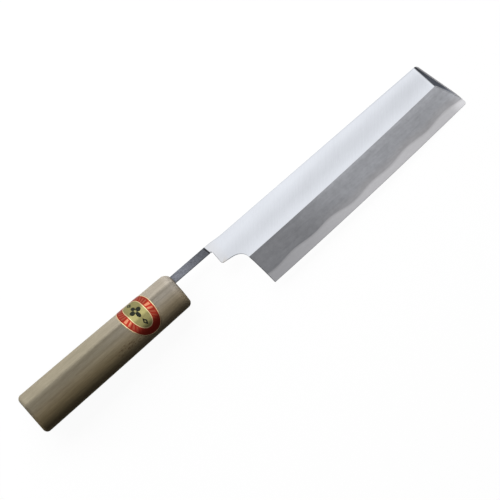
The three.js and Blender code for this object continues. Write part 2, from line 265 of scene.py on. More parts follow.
def smooth(x, low, high):
    """Rises from 0 at low to 1 at high along a cubic with flat ends."""
    t = np.clip((x - low) / (high - low), 0, 1)
    return t * t * (3 - 2 * t)


def soft_min(a, b, soft):
    """The lesser of two heights, with their meeting rounded where they differ by less than soft."""
    near = np.clip(1 - np.abs(a - b) / soft, 0, 1)
    return np.minimum(a, b) - near * near * soft / 4


def eased(distance, radius):
    """Drop of a quarter-round corner at a distance in from it."""
    away = radius - np.clip(distance, 0, radius)
    return radius - np.sqrt(radius * radius - away * away)


def bent(start, corner, end, steps):
    """Points of the quadratic curve from start towards corner to end."""
    t = np.linspace(0, 1, steps)[:, None]
    return (1 - t) ** 2 * np.array(start) + 2 * t * (1 - t) * np.array(corner) + t * t * np.array(end)


def clustered(count, near_start, near_end):
    """Shares from 0 to 1: count even steps, with closer ones added near each end."""
    even = np.linspace(0, 1, count + 1)
    return np.unique(np.concatenate([even, near_start, 1 - np.asarray(near_end)]))


def millimetres(group):
    """A property group's numbers: lengths in millimetres, angles in radians."""
    found = {}
    for key, item in group.bl_rna.properties.items():
        if item.type == "FLOAT" and not item.is_array:
            found[key] = getattr(group, key) * (1 / MM if item.unit == "LENGTH" else 1)
    return SimpleNamespace(**found)


def colours(group):
    """A property group's colours as plain numbers."""
    keys = [key for key, item in group.bl_rna.properties.items() if item.type == "FLOAT"]
    return SimpleNamespace(**{key: tuple(getattr(group, key)) for key in keys})


# Meshes

SHARP_ANGLE = math.radians(35)


def shell(upper, lower, keep):
    """A closed skin between two grids of points that lie over each other.

    Cell (i, j) spans rows i to i + 1 and columns j to j + 1. Each kept cell gives a quad above and one
    below, and each side of a kept cell that borders no other gives a wall between them.
    """
    rows, columns = upper.shape[:2]
    below = rows * columns
    up = np.arange(below).reshape(rows, columns)
    corner = [up[:-1, :-1], up[1:, :-1], up[1:, 1:], up[:-1, 1:]]
    top = np.stack([c[keep] for c in corner], axis=1)
    faces = [top, top[:, ::-1] + below]
    padded = np.pad(keep, 1)
    beside = [padded[1:-1, :-2], padded[2:, 1:-1], padded[1:-1, 2:], padded[:-2, 1:-1]]
    for side in range(4):
        bare = keep & ~beside[side]
        p = corner[side][bare]
        q = corner[(side + 1) % 4][bare]
        faces.append(np.stack([q, p, p + below, q + below], axis=1))
    return np.concatenate([upper.reshape(-1, 3), lower.reshape(-1, 3)]), [np.concatenate(faces)]


def tube(rings):
    """A closed skin over rings of as many points each, with its two ends drawn in to poles."""
    count, sides = rings.shape[:2]
    index = np.arange(count * sides).reshape(count, sides)
    after = np.roll(index, -1, axis=1)
    body = np.stack([index[:-1], index[1:], after[1:], after[:-1]], axis=-1).reshape(-1, 4)
    first, last = count * sides, count * sides + 1
    caps = np.concatenate([
        np.stack([np.full(sides, first), index[0], after[0]], axis=1),
        np.stack([np.full(sides, last), after[-1], index[-1]], axis=1),
    ])
    points = np.concatenate([rings.reshape(-1, 3), [rings[0].mean(0)], [rings[-1].mean(0)]])
    return points, [body, caps]


def laid_down(points):
    """Points in the knife's own axes, as it lies on the floor, in metres."""
    turn = Vector((0, 0, 1)).rotation_difference(-Vector(BACK["axis"]))
    return points * MM @ np.array(turn.to_matrix()).T + np.array(bpy.context.scene.usuba_stage.origin)


def volume(points, quads):
    """Six times the volume that quads span with their middle: negative where they point inwards."""
    a, b, c, d = (points[quads[:, k]] - points.mean(0) for k in range(4))
    return np.sum(a * np.cross(b, c)) + np.sum(a * np.cross(c, d))


def add_piece(node, material, points, face_sets, marks):
    """Makes the mesh object of one piece, with its marks as point attributes, and seats it in the frame.

    The faces are arrays of point numbers, quads first. They are turned round if they point inwards, and
    points that no face uses are left out.
    """
    order = 1 if volume(points, face_sets[0]) > 0 else -1
    used = np.unique(np.concatenate([each.ravel() for each in face_sets]))
    place = np.zeros(len(points), int)
    place[used] = np.arange(len(used))
    faces = [face for each in face_sets for face in place[each[:, ::order]].tolist()]
    mesh = bpy.data.meshes.new(node + "_look")
    mesh.from_pydata(laid_down(points[used]).tolist(), [], faces)
    knife = mesh.attributes.new("knife", "FLOAT_VECTOR", "POINT")
    knife.data.foreach_set("vector", points[used].astype(np.float32).ravel())
    for key, values in marks.items():
        mark = mesh.attributes.new(key, "FLOAT", "POINT")
        mark.data.foreach_set("value", np.asarray(values, np.float32).ravel()[used])
    mesh.shade_smooth()
    mesh.set_sharp_from_angle(angle=SHARP_ANGLE)
    mesh.materials.append(material)
    piece = bpy.data.objects.new(node + "_look", mesh)
    bpy.context.scene.collection.objects.link(piece)
    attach(piece, BODY)
    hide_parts(node)


def both_sides(marks):
    """Marks for a shell's upper and lower points, with the side that they are on."""
    doubled = {key: np.concatenate([mark.ravel(), mark.ravel()]) for key, mark in marks.items()}
    half = next(iter(marks.values())).size
    doubled["side"] = np.repeat([1.0, -1.0], half)
    return doubled


# The blade

ROUND_STEPS = 10
ARCH_STEPS = 24
HEEL_STEPS = 40
HEEL_CORNER_STEPS = 8
HEEL_PULL = 3


class Blade:
    """The blade as formulas: lines are functions of x, heights of x and y."""

    def __init__(self, scene):
        self.size = millimetres(scene.usuba_blade)
        s = self.size
        self.tip_x = s.neck_length + s.edge_length
        self.tip_top = self.tip_x + s.tip_roll - s.tip_height * math.tan(s.tip_lean)
        self.heel_top = s.neck_length - s.heel_lean

    def share(self, x):
        """0 at the heel, 1 at the tip."""
        return (x - self.size.neck_length) / self.size.edge_length

    def bow(self, x):
        """A parabola, nothing at the heel and the tip."""
        t = self.share(x)
        return self.size.edge_bow * 4 * t * (1 - t)

    def edge(self, x):
        """The cutting edge: a straight line from heel to tip, bowed out."""
        return -lerp(self.size.heel_height, self.size.tip_height, self.share(x)) - self.bow(x)

    def ridge(self, x):
        """The bevel's ridge: a straight line from heel to tip, with the edge's bow."""
        return -lerp(self.size.ridge_at_heel, self.size.ridge_at_tip, self.share(x)) - self.bow(x)

    def spine(self, x):
        """The spine: straight, with a smooth lift towards the shoulder."""
        return self.size.neck_rise * (1 - smooth(x, 0, self.size.neck_rise_length))

    def ridge_height(self, x):
        """Thickness under the ridge: an even taper from heel to tip."""
        return lerp(self.size.ridge_heel_thickness, self.size.ridge_tip_thickness, self.share(x))

    def spine_height(self, x):
        """Thickness of the spine: an even taper from shoulder to tip."""
        return lerp(self.size.neck_thickness, self.size.spine_tip_thickness, x / self.tip_x)

    def strip(self, x):
        """Width of the edge steel on the bevel: a taper with waves on it."""
        width = lerp(self.size.strip_at_heel, self.size.strip_at_tip, self.share(x))
        for height, wave, phase in WELD_WAVES:
            width = width + height * np.sin(2 * np.pi * x / wave + phase)
        return width

    def weld_line(self, x):
        """Where the weld comes out on the bevel: a strip's width above the edge."""
        return self.edge(x) + self.strip(x)

    def weld(self, x):
        """Height of the weld, which comes out on the bevel along the weld line."""
        land = self.size.edge_land
        return land + (self.ridge_height(x) - land) * self.strip(x) / (self.ridge(x) - self.edge(x))

    def flat(self, x, y):
        """Height of the flat: straight from spine to ridge."""
        t = (self.spine(x) - y) / (self.spine(x) - self.ridge(x))
        return lerp(self.spine_height(x), self.ridge_height(x), t)

    def bevel(self, x, y):
        """Height of the bevel: straight from the ridge down to the edge's land."""
        t = (self.ridge(x) - y) / (self.ridge(x) - self.edge(x))
        return lerp(self.ridge_height(x), self.size.edge_land, t)

    def tip_line(self, y):
        """x of the leaning line along the blade's end."""
        return self.tip_top - y * math.tan(self.size.tip_lean)

    def facet(self, x, y):
        """Plane that rises from the leaning line of the blade's end."""
        inward = (self.tip_line(y) - x) * math.cos(self.size.tip_lean)
        return self.size.facet_land + inward * math.tan(self.size.facet_angle)

    def facet_x(self, y, height):
        """x at which the facet reaches a height."""
        inward = (height - self.size.facet_land) / math.tan(self.size.facet_angle)
        return self.tip_line(y) - inward / math.cos(self.size.tip_lean)

    def ground(self, x, y):
        """Top of the blade before the facet: the flat and the bevel, met in a crisp ridge."""
        return soft_min(self.flat(x, y), self.bevel(x, y), self.size.ridge_soft)

    def hollow(self, x, y):
        """Depth of the back: a parabola across the blade that fades out before the heel and the tip."""
        s = self.size
        top = self.spine(x) - s.hollow_rim
        across = np.clip((top - y) / (top - self.edge(x) - s.hollow_rim), 0, 1)
        start = s.neck_length + s.hollow_rim
        along = np.clip((x - start) / (self.tip_line(y) - s.hollow_rim - start), 0, 1)
        return s.hollow_depth * 4 * across * (1 - across) * (1 - np.abs(2 * along - 1) ** s.hollow_fade)

    def underside(self):
        """The neck's underside as points: the shoulder's round, then an arch down to the heel."""
        s = self.size
        turn = np.linspace(0, np.pi / 2, ROUND_STEPS)
        shoulder = np.stack([1 - np.cos(turn), 1 - np.sin(turn)], axis=1) * s.shoulder_round
        return np.concatenate([shoulder - [0, s.neck_depth], bent(*self.arch(), ARCH_STEPS)])

    def arch(self):
        """Start, corner and end of the arch: the corner lies on the line that comes from the shoulder."""
        s = self.size
        slope = s.arch_fall / (s.arch_start - s.shoulder_round)
        start = (s.arch_start, -s.neck_depth - s.arch_fall)
        corner_x = self.heel_top - s.arch_corner
        corner = (corner_x, start[1] - slope * (corner_x - s.arch_start))
        return start, corner, (self.heel_top, self.ridge(self.heel_top))

    def heel(self):
        """The heel as points: a curve on from the arch to the heel corner, which is rounded."""
        s = self.size
        _, corner, top = self.arch()
        pull = [lerp(a, b, HEEL_PULL) for a, b in zip(corner, top)]
        foot = (s.neck_length, self.edge(s.neck_length))
        above = (foot[0], foot[1] + s.heel_round)
        past = (foot[0] + s.heel_round, self.edge(foot[0] + s.heel_round))
        corner_round = bent(above, foot, past, HEEL_CORNER_STEPS)
        return np.concatenate([bent(top, pull, above, HEEL_STEPS), corner_round[1:]])

    def tip(self):
        """The blade's end as points: the spine corner's round, the lean, the roll and the edge's round."""
        s = self.size
        roll_y = s.tip_roll_length - s.tip_height
        foot_y = s.tip_corner_round - s.tip_height
        foot_x = self.tip_x - s.tip_corner_round
        roll_x = self.tip_line(roll_y)
        above_y = roll_y + s.tip_roll_soft
        share = s.tip_roll_soft / (roll_y - foot_y)
        below = (lerp(roll_x, self.tip_x, share), lerp(roll_y, foot_y, share))
        spine_y = -s.tip_spine_round
        curves = (
            ((self.tip_top + spine_y, 0), (self.tip_top, 0), (self.tip_line(spine_y), spine_y)),
            ((self.tip_line(above_y), above_y), (roll_x, roll_y), below),
            ((self.tip_x, foot_y), (self.tip_x, -s.tip_height), (foot_x, self.edge(foot_x))),
        )
        return np.concatenate([bent(*curve, ROUND_STEPS) for curve in curves])


def line_x(points, y):
    """x of an outline that runs down from the spine, at heights y."""
    return np.interp(-y, -points[:, 1], points[:, 0])


# Where the grids of the blade and the tang have rows and columns: shares of a length, or millimetres
FLAT_ROWS = clustered(18, [0.004, 0.009, 0.015], [0.003, 0.009, 0.024])
BEVEL_ROWS = clustered(12, [0.003, 0.009, 0.024], [0.006, 0.02])[1:]
STRIP_ROWS = clustered(8, [0.02, 0.06], [0.01, 0.03, 0.06])[1:]
TANG_ROW = 10
NEAR_HEEL = np.array([0.0, 0.04, 0.1, 0.18, 0.3, 0.5, 0.9, 1.6])
NEAR_ARRIS = np.array([2.5, 1.5, 0.9, 0.5, 0.28, 0.14, 0.06, 0.0])
PAST_ARRIS = np.array([0.03, 0.07, 0.14, 0.24, 0.4, 0.6, 0.8, 0.93, 1.0])
NEAR_SHOULDER = [0.05, 0.15]
NECK_STEPS = 8
ALONG_BLADE = np.linspace(0, 1, 190)[1:-1]
TANG_CORNER = np.array([0, 1 / 3, 2 / 3, 1])
TANG_CORE = np.array([0.25, 0.5, 0.75])
TANG_END = 2.0
INSIDE_STEPS = 16
BARE_STEPS = 20
WIDENING_STEPS = 10
TANG_ROOT = np.array([0.85, 0.7, 0.55, 0.4, 0.27, 0.15, 0.06])
ARRIS_MARGIN = 0.04
RIM_WIDTH = 1.0
HAIR = 1e-6
SETTLING_ROUNDS = 8


def neck_grid(blade, tang, first, rows):
    """The neck's part of the plan: columns of one x each, and rows from the spine to the underside.

    Rows are spread so that row TANG_ROW leaves from the tang's lower corner.
    """
    s = blade.size
    under = blade.underside()
    x = np.unique(np.round(np.concatenate([
        under[:, 0],
        np.linspace(s.shoulder_round, s.arch_start, NECK_STEPS),
        NEAR_SHOULDER,
        [s.steel_start - s.weld_gap, s.steel_start],
    ]), 4))
    x = x[(x > first - HAIR) & (x < blade.heel_top - HAIR)]
    below = np.interp(x, under[:, 0], under[:, 1])
    shoulder = s.neck_rise + s.neck_depth - s.shoulder_round
    root = FLAT_ROWS[TANG_ROW]
    at = lerp((tang.width + tang.root_round) / shoulder, root, smooth(x, 0, s.steel_start))
    share = FLAT_ROWS[:, None]
    share = np.where(share <= root, share / root * at, at + (share - root) / (1 - root) * (1 - at))
    y = lerp(blade.spine(x), below, share)
    y = np.concatenate([y, np.repeat(y[-1:], rows - len(y), axis=0)])
    return np.repeat(x[None, :], rows, axis=0), y, below


def blade_grid(blade, tang, with_strip):
    """The plan of the blade from spine to weld line, or on to the edge, as grids of x and y.

    Rows run from the spine to the ridge, on to the weld line and, with_strip, to the edge. Columns run
    along the neck, whose rows end at its underside, and then from the heel to the end of the blade, where
    one column follows the facet's arris. A few rounds of substitution settle where rows that follow the
    bowed edge meet the leaning tip. The last two grids are the drop of the eased corner along the heel
    and the neck's underside, and how near that corner is, from 0 to 1.
    """
    strip_rows = STRIP_ROWS if with_strip else STRIP_ROWS[:0]
    flats = len(FLAT_ROWS)
    bevels = flats + len(BEVEL_ROWS)
    rows = bevels + len(strip_rows)
    heel, tip = blade.heel(), blade.tip()

    def row_y(x):
        """y of each row at its own x."""
        flat, bevel, strip = x[:flats], x[flats:bevels], x[bevels:]
        return np.concatenate([
            lerp(blade.spine(flat), blade.ridge(flat), FLAT_ROWS[:, None]),
            lerp(blade.ridge(bevel), blade.weld_line(bevel), BEVEL_ROWS[:, None]),
            lerp(blade.weld_line(strip), blade.edge(strip), strip_rows[:, None]),
        ])

    left = np.full((rows, 1), blade.heel_top)
    right = np.full((rows, 1), blade.tip_x)
    arris = right
    for _ in range(SETTLING_ROUNDS):
        left = np.where(np.arange(rows)[:, None] < flats, blade.heel_top, line_x(heel, row_y(left)))
        right = line_x(tip, row_y(right))
        top = blade.ground(arris, row_y(arris))
        if with_strip:
            top = np.minimum(top, blade.weld(arris))
        else:
            weld = blade.weld(right) + blade.size.weld_gap
            right = np.minimum(right, blade.facet_x(row_y(right), weld))
        arris = np.minimum(blade.facet_x(row_y(arris), top), right - ARRIS_MARGIN)
    x = np.concatenate([
        left + NEAR_HEEL,
        lerp(left + NEAR_HEEL[-1], arris - NEAR_ARRIS[0], ALONG_BLADE),
        arris - NEAR_ARRIS,
        lerp(arris, right, PAST_ARRIS),
    ], axis=1)
    first = blade.size.steel_start if with_strip else 0
    neck_x, neck_y, below = neck_grid(blade, tang, first, rows)
    y = np.concatenate([neck_y, row_y(x)], axis=1)
    neck = neck_x.shape[1]
    keep = np.ones((rows - 1, y.shape[1] - 1), bool)
    keep[flats - 1:, :neck] = False
    inward = np.full_like(y, RIM_WIDTH)
    inward[:flats, :neck] = neck_y[:flats] - below
    inward[flats - 1:, neck:] = x[flats - 1:] - left[flats - 1:]
    drop = eased(inward, blade.size.side_ease)
    return np.concatenate([neck_x, x], axis=1), y, keep, drop, np.clip(1 - inward / RIM_WIDTH, 0, 1)


def blade_marks(blade, x, y, rim):
    """What the finishes follow: distances from ridge, weld, edge, arris and spine, hollow and corner."""
    return both_sides({
        "above_ridge": y - blade.ridge(x),
        "above_weld": y - blade.weld_line(x),
        "above_edge": y - blade.edge(x),
        "past_arris": blade.ground(x, y) - blade.facet(x, y),
        "hollow": blade.hollow(x, y),
        "below_spine": blade.spine(x) - y,
        "corner": rim,
    })


def tang_grid(blade, tang, handle, root_y, root_top, root_bottom):
    """The tang: a rectangle with chamfered corners that narrows and dips inside the handle.

    Its rows are those of the neck down to TANG_ROW, and its last columns run into the neck's first.
    """
    s = blade.size
    front = -handle.bare_tang
    end = front - tang.inside
    x = np.unique(np.concatenate([
        [end, end + tang.chamfer],
        np.linspace(end + TANG_END, front, INSIDE_STEPS),
        np.linspace(front, -tang.root_start, BARE_STEPS),
        np.linspace(-tang.root_start, -tang.root, WIDENING_STEPS),
        -tang.root * TANG_ROOT,
    ]))
    inside = np.clip((front - x) / tang.inside, 0, 1)
    width = lerp(tang.width, tang.end_width, inside)
    thickness = lerp(tang.thickness, tang.end_thickness, inside)
    corner = tang.chamfer * TANG_CORNER
    offset = np.concatenate([
        np.repeat(corner[:, None], len(x), axis=1),
        lerp(tang.chamfer, width - tang.chamfer, TANG_CORE[:, None]),
        width - corner[::-1, None],
    ])
    cut = np.maximum(0, tang.chamfer - np.minimum(offset, width - offset))
    cut = np.maximum(cut, tang.chamfer - (x - end))
    y = s.neck_rise - tang.width / 2 - tang.dip * inside + width / 2 - offset
    into = smooth(x, -tang.root, 0)
    y = lerp(y, root_y[:, None], into)
    thickness = lerp(thickness, s.neck_thickness, smooth(x, -tang.root_start, -tang.root_end))
    top = lerp((s.neck_thickness + thickness) / 2 - cut, root_top[:, None], into)
    bottom = lerp((s.neck_thickness - thickness) / 2 + cut, root_bottom[:, None], into)
    return np.repeat(x[None, :], len(offset), axis=0), y, top, bottom


def add_layer(node, material, blade, x, y, top, bottom, keep, rim):
    """One layer of the blade: the closed skin between two heights over the plan."""
    points, faces = shell(np.stack([x, y, top], axis=2), np.stack([x, y, bottom], axis=2), keep)
    add_piece(node, material, points, faces, blade_marks(blade, x, y, rim))


def build_blade_iron(scene):
    """The iron: flat, upper bevel and neck over the weld, in one skin with the tang.

    Over the plan of blade_grid the top is the lesser of flat, bevel and facet, and the underside is the
    weld, or the plane of the back where the steel hasn't started. The tang's columns come first.
    """
    blade = Blade(scene)
    s = blade.size
    tang = millimetres(scene.usuba_tang)
    handle = millimetres(scene.usuba_handle)
    x, y, keep, drop, rim = blade_grid(blade, tang, with_strip=False)
    shoulder_drop = eased(x, s.side_ease) * (np.arange(len(x))[:, None] > TANG_ROW)
    drop = np.maximum(np.maximum(drop, eased(blade.spine(x) - y, s.spine_ease)), shoulder_drop)
    top = soft_min(blade.ground(x, y), blade.facet(x, y), s.facet_soft) - drop
    bare = x < s.steel_start - s.weld_gap / 2
    bottom = np.where(bare, drop, blade.weld(x) + s.weld_gap)
    bottom = np.minimum(bottom, top - s.feather)

    root = TANG_ROW + 1
    tang_grids = tang_grid(blade, tang, handle, y[:root, 0], top[:root, 0], bottom[:root, 0])
    spare_rows = ((0, len(x) - root), (0, 0))
    x, y, top, bottom = (
        np.concatenate([np.pad(of_tang, spare_rows, mode="edge"), of_blade], axis=1)
        for of_tang, of_blade in zip(tang_grids, (x, y, top, bottom))
    )
    tang_columns = ((0, 0), (tang_grids[0].shape[1], 0))
    rim = np.pad(rim, tang_columns)
    keep = np.pad(keep, tang_columns)
    keep[:TANG_ROW] = True
    add_layer("blade_iron", iron_material(scene), blade, x, y, top, bottom, keep, rim)


def build_edge_steel(scene):
    """The steel: its top is the lesser of weld, bevel and facet, and its underside is the hollow back."""
    blade = Blade(scene)
    s = blade.size
    x, y, keep, drop, rim = blade_grid(blade, millimetres(scene.usuba_tang), with_strip=True)
    top = soft_min(blade.bevel(x, y), blade.facet(x, y), s.facet_soft) - drop
    top = np.minimum(top, blade.weld(x))
    bottom = blade.hollow(x, y) + np.maximum(drop, eased(blade.spine(x) - y, s.spine_ease)) / 2
    bottom = np.minimum(bottom, top - s.feather)
    add_layer("edge_steel", steel_material(scene), blade, x, y, top, bottom, keep, rim)


# The handle and the label

# Where the handle's rings and the label's rows and columns lie: shares of a length, turns, or millimetres
NEAR_RIDGE = [0.0028, 0.0056, 0.0098]
HANDLE_TURNS = 2 * np.pi * clustered(144, NEAR_RIDGE, NEAR_RIDGE)[:-1]
RIM_STEPS = 12
ALONG_HANDLE = np.linspace(0, 1, 64)[1:-1, None]
ALONG_SLOT = np.linspace(0, 1, 14)[:, None]
ACROSS_FRONT = np.array([0, 0.15, 0.4, 0.7])[:, None]
ACROSS_BUTT = np.array([0.25, 0.5, 0.75])[:, None, None]
MOUTH_FLARE = 0.2
MOUTH_DEPTH = 0.3
DEEPEST = 0.95
HALVINGS = 30
LABEL_BENDS = np.radians(np.linspace(-88, 88, 105))[:, None]
LABEL_COLUMNS = np.linspace(-1, 1, 49)[None, :]


def handle_swell(handle, turn):
    """How far the oval is drawn out at a turn: 1 / cos of how far the turn is inside the ridge's spread.

    That makes the two flanks of the ridge straight.
    """
    away = np.abs((turn - handle.ridge_angle + np.pi) % (2 * np.pi) - np.pi)
    away = np.sqrt(away * away + handle.ridge_soft * handle.ridge_soft)
    return 1 / np.cos(np.maximum(0, handle.ridge_spread - away))


def handle_section(handle, x, inset, turn):
    """y and z of the handle's skin about its axis: an oval with one side drawn out to a ridge."""
    share = (x + handle.bare_tang + handle.length) / handle.length
    belly = handle.belly * 4 * share * (1 - share)
    wide = (lerp(handle.butt_width, handle.front_width, share) + belly) / 2 - inset
    thick = (lerp(handle.butt_thickness, handle.front_thickness, share) + belly) / 2 - inset
    swell = handle_swell(handle, turn)
    return wide * swell * np.cos(turn), thick * swell * np.sin(turn)


def front_round(handle, turn):
    """Radius of the front's rim: a cosine round the section, largest on the spine side."""
    return lerp(handle.front_round_edge, handle.front_round_spine, 0.5 + 0.5 * np.cos(turn))


def front_drop(handle, y, z):
    """How far the rounded front lies behind its flat at points across it.

    The inset at which the section passes through a point is found by halving, and it gives the point's
    place on the round.
    """
    wide = handle.front_width / 2 - handle.skin
    thick = handle.front_thickness / 2 - handle.skin
    low, high = np.zeros_like(y), np.full_like(y, thick * DEEPEST)
    for _ in range(HALVINGS):
        inset = (low + high) / 2
        across, up = y / (wide - inset), z / (thick - inset)
        turn = np.arctan2(up, across)
        within = np.hypot(across, up) < handle_swell(handle, turn)
        low, high = np.where(within, inset, low), np.where(within, high, inset)
    return eased(inset, front_round(handle, turn))


def slot_section(handle, tang, rise, x, direction, more):
    """y and z of the slot: the tang's chamfered rectangle and its clearance, met by rays from its middle."""
    inside = np.clip((-handle.bare_tang - x) / tang.inside, 0, 1)
    wide = lerp(tang.width, tang.end_width, inside) / 2 + handle.slot_clearance + more
    thick = lerp(tang.thickness, tang.end_thickness, inside) / 2 + handle.slot_clearance + more
    across, up = np.abs(np.cos(direction)), np.abs(np.sin(direction))
    reach = np.minimum(wide / np.maximum(across, HAIR), thick / np.maximum(up, HAIR))
    reach = np.minimum(reach, (wide + thick - tang.chamfer) / (across + up))
    middle = rise - tang.width / 2 - tang.dip * inside + handle.depth
    return middle + reach * np.cos(direction), reach * np.sin(direction)


def build_handle(scene):
    """The handle: rings from the slot's blind end, out of its mouth, over rims and body to the butt.

    The front's rings go from the slot's outline to the rim's along rays from the slot's middle.
    """
    blade = millimetres(scene.usuba_blade)
    tang = millimetres(scene.usuba_tang)
    handle = millimetres(scene.usuba_handle)
    axis_z = blade.neck_thickness / 2
    front = -handle.bare_tang - handle.skin
    butt = front - handle.length + 2 * handle.skin
    turn = handle.ridge_angle + HANDLE_TURNS

    radius = front_round(handle, turn)
    bend = np.arccos(1 - handle.front_rim / radius) * np.linspace(1, 0, RIM_STEPS)[:, None]
    quarter = np.linspace(0, np.pi / 2, RIM_STEPS)[:, None] + np.zeros_like(turn)
    body = lerp(front - radius, butt + handle.butt_round, ALONG_HANDLE)
    x = np.concatenate([
        front - radius * (1 - np.sin(bend)), body, butt + handle.butt_round * (1 - np.sin(quarter))
    ])
    inset = np.concatenate([
        radius * (1 - np.cos(bend)), np.zeros_like(body), handle.butt_round * (1 - np.cos(quarter))
    ])
    y, z = handle_section(handle, x, inset + handle.skin, turn)
    skin = np.stack([x, y, z], axis=2)

    slot_y = blade.neck_rise - tang.width / 2 + handle.depth
    direction = np.arctan2(skin[0, :, 2], skin[0, :, 1] - slot_y)
    y, z = slot_section(handle, tang, blade.neck_rise, front, direction, MOUTH_FLARE)
    y, z = lerp(y, skin[0, :, 1], ACROSS_FRONT), lerp(z, skin[0, :, 2], ACROSS_FRONT)
    face = np.stack([front - front_drop(handle, y, z), y, z], axis=2)
    slot_end = -handle.bare_tang - tang.inside - handle.slot_clearance
    slot_x = lerp(slot_end, face[0, :, 0] - MOUTH_DEPTH, ALONG_SLOT)
    y, z = slot_section(handle, tang, blade.neck_rise, slot_x, direction, 0)
    slot = np.stack([slot_x, y, z], axis=2)
    cap = lerp(skin[-1], skin[-1].mean(0), ACROSS_BUTT)
    rings = np.concatenate([slot, face, skin, cap]) + [0, -handle.depth, axis_z]

    points, faces = tube(rings)
    ring = np.arange(len(rings))
    skin_start = len(slot) + len(face)
    in_slot = ring <= len(slot)
    end = (ring >= len(slot)) & ((ring <= skin_start) | (ring >= skin_start + len(skin) - 1))
    sides = rings.shape[1]
    marks = {
        "in_slot": np.append(np.repeat(in_slot, sides), [True, False]),
        "end": np.append(np.repeat(end, sides), [False, True]),
    }
    add_piece("handle", wood_material(scene), points, faces, marks)


def build_label(scene):
    """The label: an oval laid on the handle's skin, its rows at one turn each and its columns along it.

    With a bend from nearly -90 to nearly 90 degrees, the sine gives the row's place round the ridge and
    the cosine its half length, so that the sheet's own coordinates fill a unit disc.
    """
    label = millimetres(scene.usuba_label)
    handle = millimetres(scene.usuba_handle)
    axis_z = millimetres(scene.usuba_blade).neck_thickness / 2
    p = LABEL_COLUMNS * np.cos(LABEL_BENDS)
    q = np.broadcast_to(np.sin(LABEL_BENDS), p.shape)
    x = label.length / 2 * p + label.lean * q - handle.bare_tang - label.setback
    turn = handle.ridge_angle + np.where(q < 0, label.reach_spine, label.reach_edge) * q
    y, z = handle_section(handle, x, handle.skin, turn)
    out = np.stack([np.zeros_like(x), y, z], axis=2)
    out = out / np.linalg.norm(out, axis=2, keepdims=True)
    under = np.stack([x, y - handle.depth, z + axis_z], axis=2) + out * label.gap
    points, faces = shell(under + out * label.thickness, under, np.ones_like(p[1:, 1:], bool))
    add_piece("label", foil_material(scene), points, faces, both_sides({"disc_p": p, "disc_q": q}))


# Materials

class Value:
    """An output socket of a node tree; sums with it add Math nodes."""

    def __init__(self, tree, socket):
        self.tree = tree
        self.socket = socket

    def __add__(self, other):
        return self.tree.math("ADD", self, other)

    def __radd__(self, other):
        return self.tree.math("ADD", other, self)

    def __sub__(self, other):
        return self.tree.math("SUBTRACT", self, other)

    def __rsub__(self, other):
        return self.tree.math("SUBTRACT", other, self)

    def __mul__(self, other):
        return self.tree.math("MULTIPLY", self, other)

    def __rmul__(self, other):
        return self.tree.math("MULTIPLY", other, self)

    def __truediv__(self, other):
        return self.tree.math("DIVIDE", self, other)

    def __rtruediv__(self, other):
        return self.tree.math("DIVIDE", other, self)

    def __abs__(self):
        return self.tree.math("ABSOLUTE", self)


class Tree:
    """The emptied node tree of a material or a world."""

    def __init__(self, owner):
        owner.use_nodes = True
        self.owner = owner
        self.tree = owner.node_tree
        self.tree.nodes.clear()

    def node(self, kind, settings=None, inputs=None, output=0):
        """Adds a node, sets its settings, then its sockets by value or by link."""
        made = self.tree.nodes.new(kind)
        for key, value in (settings or {}).items():
            setattr(made, key, value)
        for key, value in (inputs or {}).items():
            if isinstance(value, Value):
                self.tree.links.new(value.socket, made.inputs[key])
            else:
                made.inputs[key].default_value = value
        return Value(self, made.outputs[output]) if len(made.outputs) else None

    def math(self, operation, first, second=0.0):
        """One sum on numbers."""
        return self.node("ShaderNodeMath", {"operation": operation}, {0: first, 1: second})

    def vector_math(self, operation, first, second, output="Vector"):
        """One sum on vectors or colours."""
        return self.node("ShaderNodeVectorMath", {"operation": operation}, {0: first, 1: second}, output)

    def ray(self, kind):
        """1 for rays of a kind, 0 for others."""
        return self.node("ShaderNodeLightPath", None, None, "Is %s Ray" % kind)

    def mark(self, name):
        """A point attribute that holds one number."""
        return self.node("ShaderNodeAttribute", {"attribute_name": name}, output="Fac")

    def place(self):
        """The point in the knife's own axes, in millimetres."""
        return self.node("ShaderNodeAttribute", {"attribute_name": "knife"}, output="Vector")

    def parts(self, vector):
        """x, y and z of a vector."""
        made = self.node("ShaderNodeSeparateXYZ", None, {0: vector}).socket.node
        return [Value(self, socket) for socket in made.outputs]

    def noise(self, vector, per_mm, detail=2.0, roughness=0.5):
        """Noise with so many waves per millimetre along the three axes."""
        spread = self.vector_math("MULTIPLY", vector, per_mm)
        settings = {"Vector": spread, "Scale": 1.0, "Detail": detail, "Roughness": roughness}
        return self.node("ShaderNodeTexNoise", None, settings)

    def step(self, value, low, high, start=0.0, end=1.0):
        """Goes smoothly from start at low to end at high."""
        return self.node(
            "ShaderNodeMapRange",
            {"interpolation_type": "SMOOTHSTEP"},
            {"Value": value, "From Min": low, "From Max": high, "To Min": start, "To Max": end},
        )

    def blend(self, share, first, second):
        """A number between two."""
        return self.node("ShaderNodeMix", None, {0: share, 2: first, 3: second})

    def mix(self, share, first, second):
        """A colour between two."""
        sockets = {0: share, 6: rgba(first), 7: rgba(second)}
        return self.node("ShaderNodeMix", {"data_type": "RGBA"}, sockets, 2)

    def tone(self, tint, factor):
        """A colour made darker or lighter."""
        return self.node("ShaderNodeVectorMath", {"operation": "SCALE"}, {0: tint, "Scale": factor})

    def bump(self, height, distance):
        """A normal from a height in millimetres."""
        return self.node(
            "ShaderNodeBump", None, {"Strength": 1.0, "Distance": distance * MM, "Height": height}, "Normal"
        )

    def surface(self, **inputs):
        """Ends the tree in one surface and gives its material."""
        named = {key.replace("_", " ").title().replace("Ior", "IOR"): value for key, value in inputs.items()}
        shader = self.node("ShaderNodeBsdfPrincipled", None, named)
        self.node("ShaderNodeOutputMaterial", None, {"Surface": shader})
        return self.owner


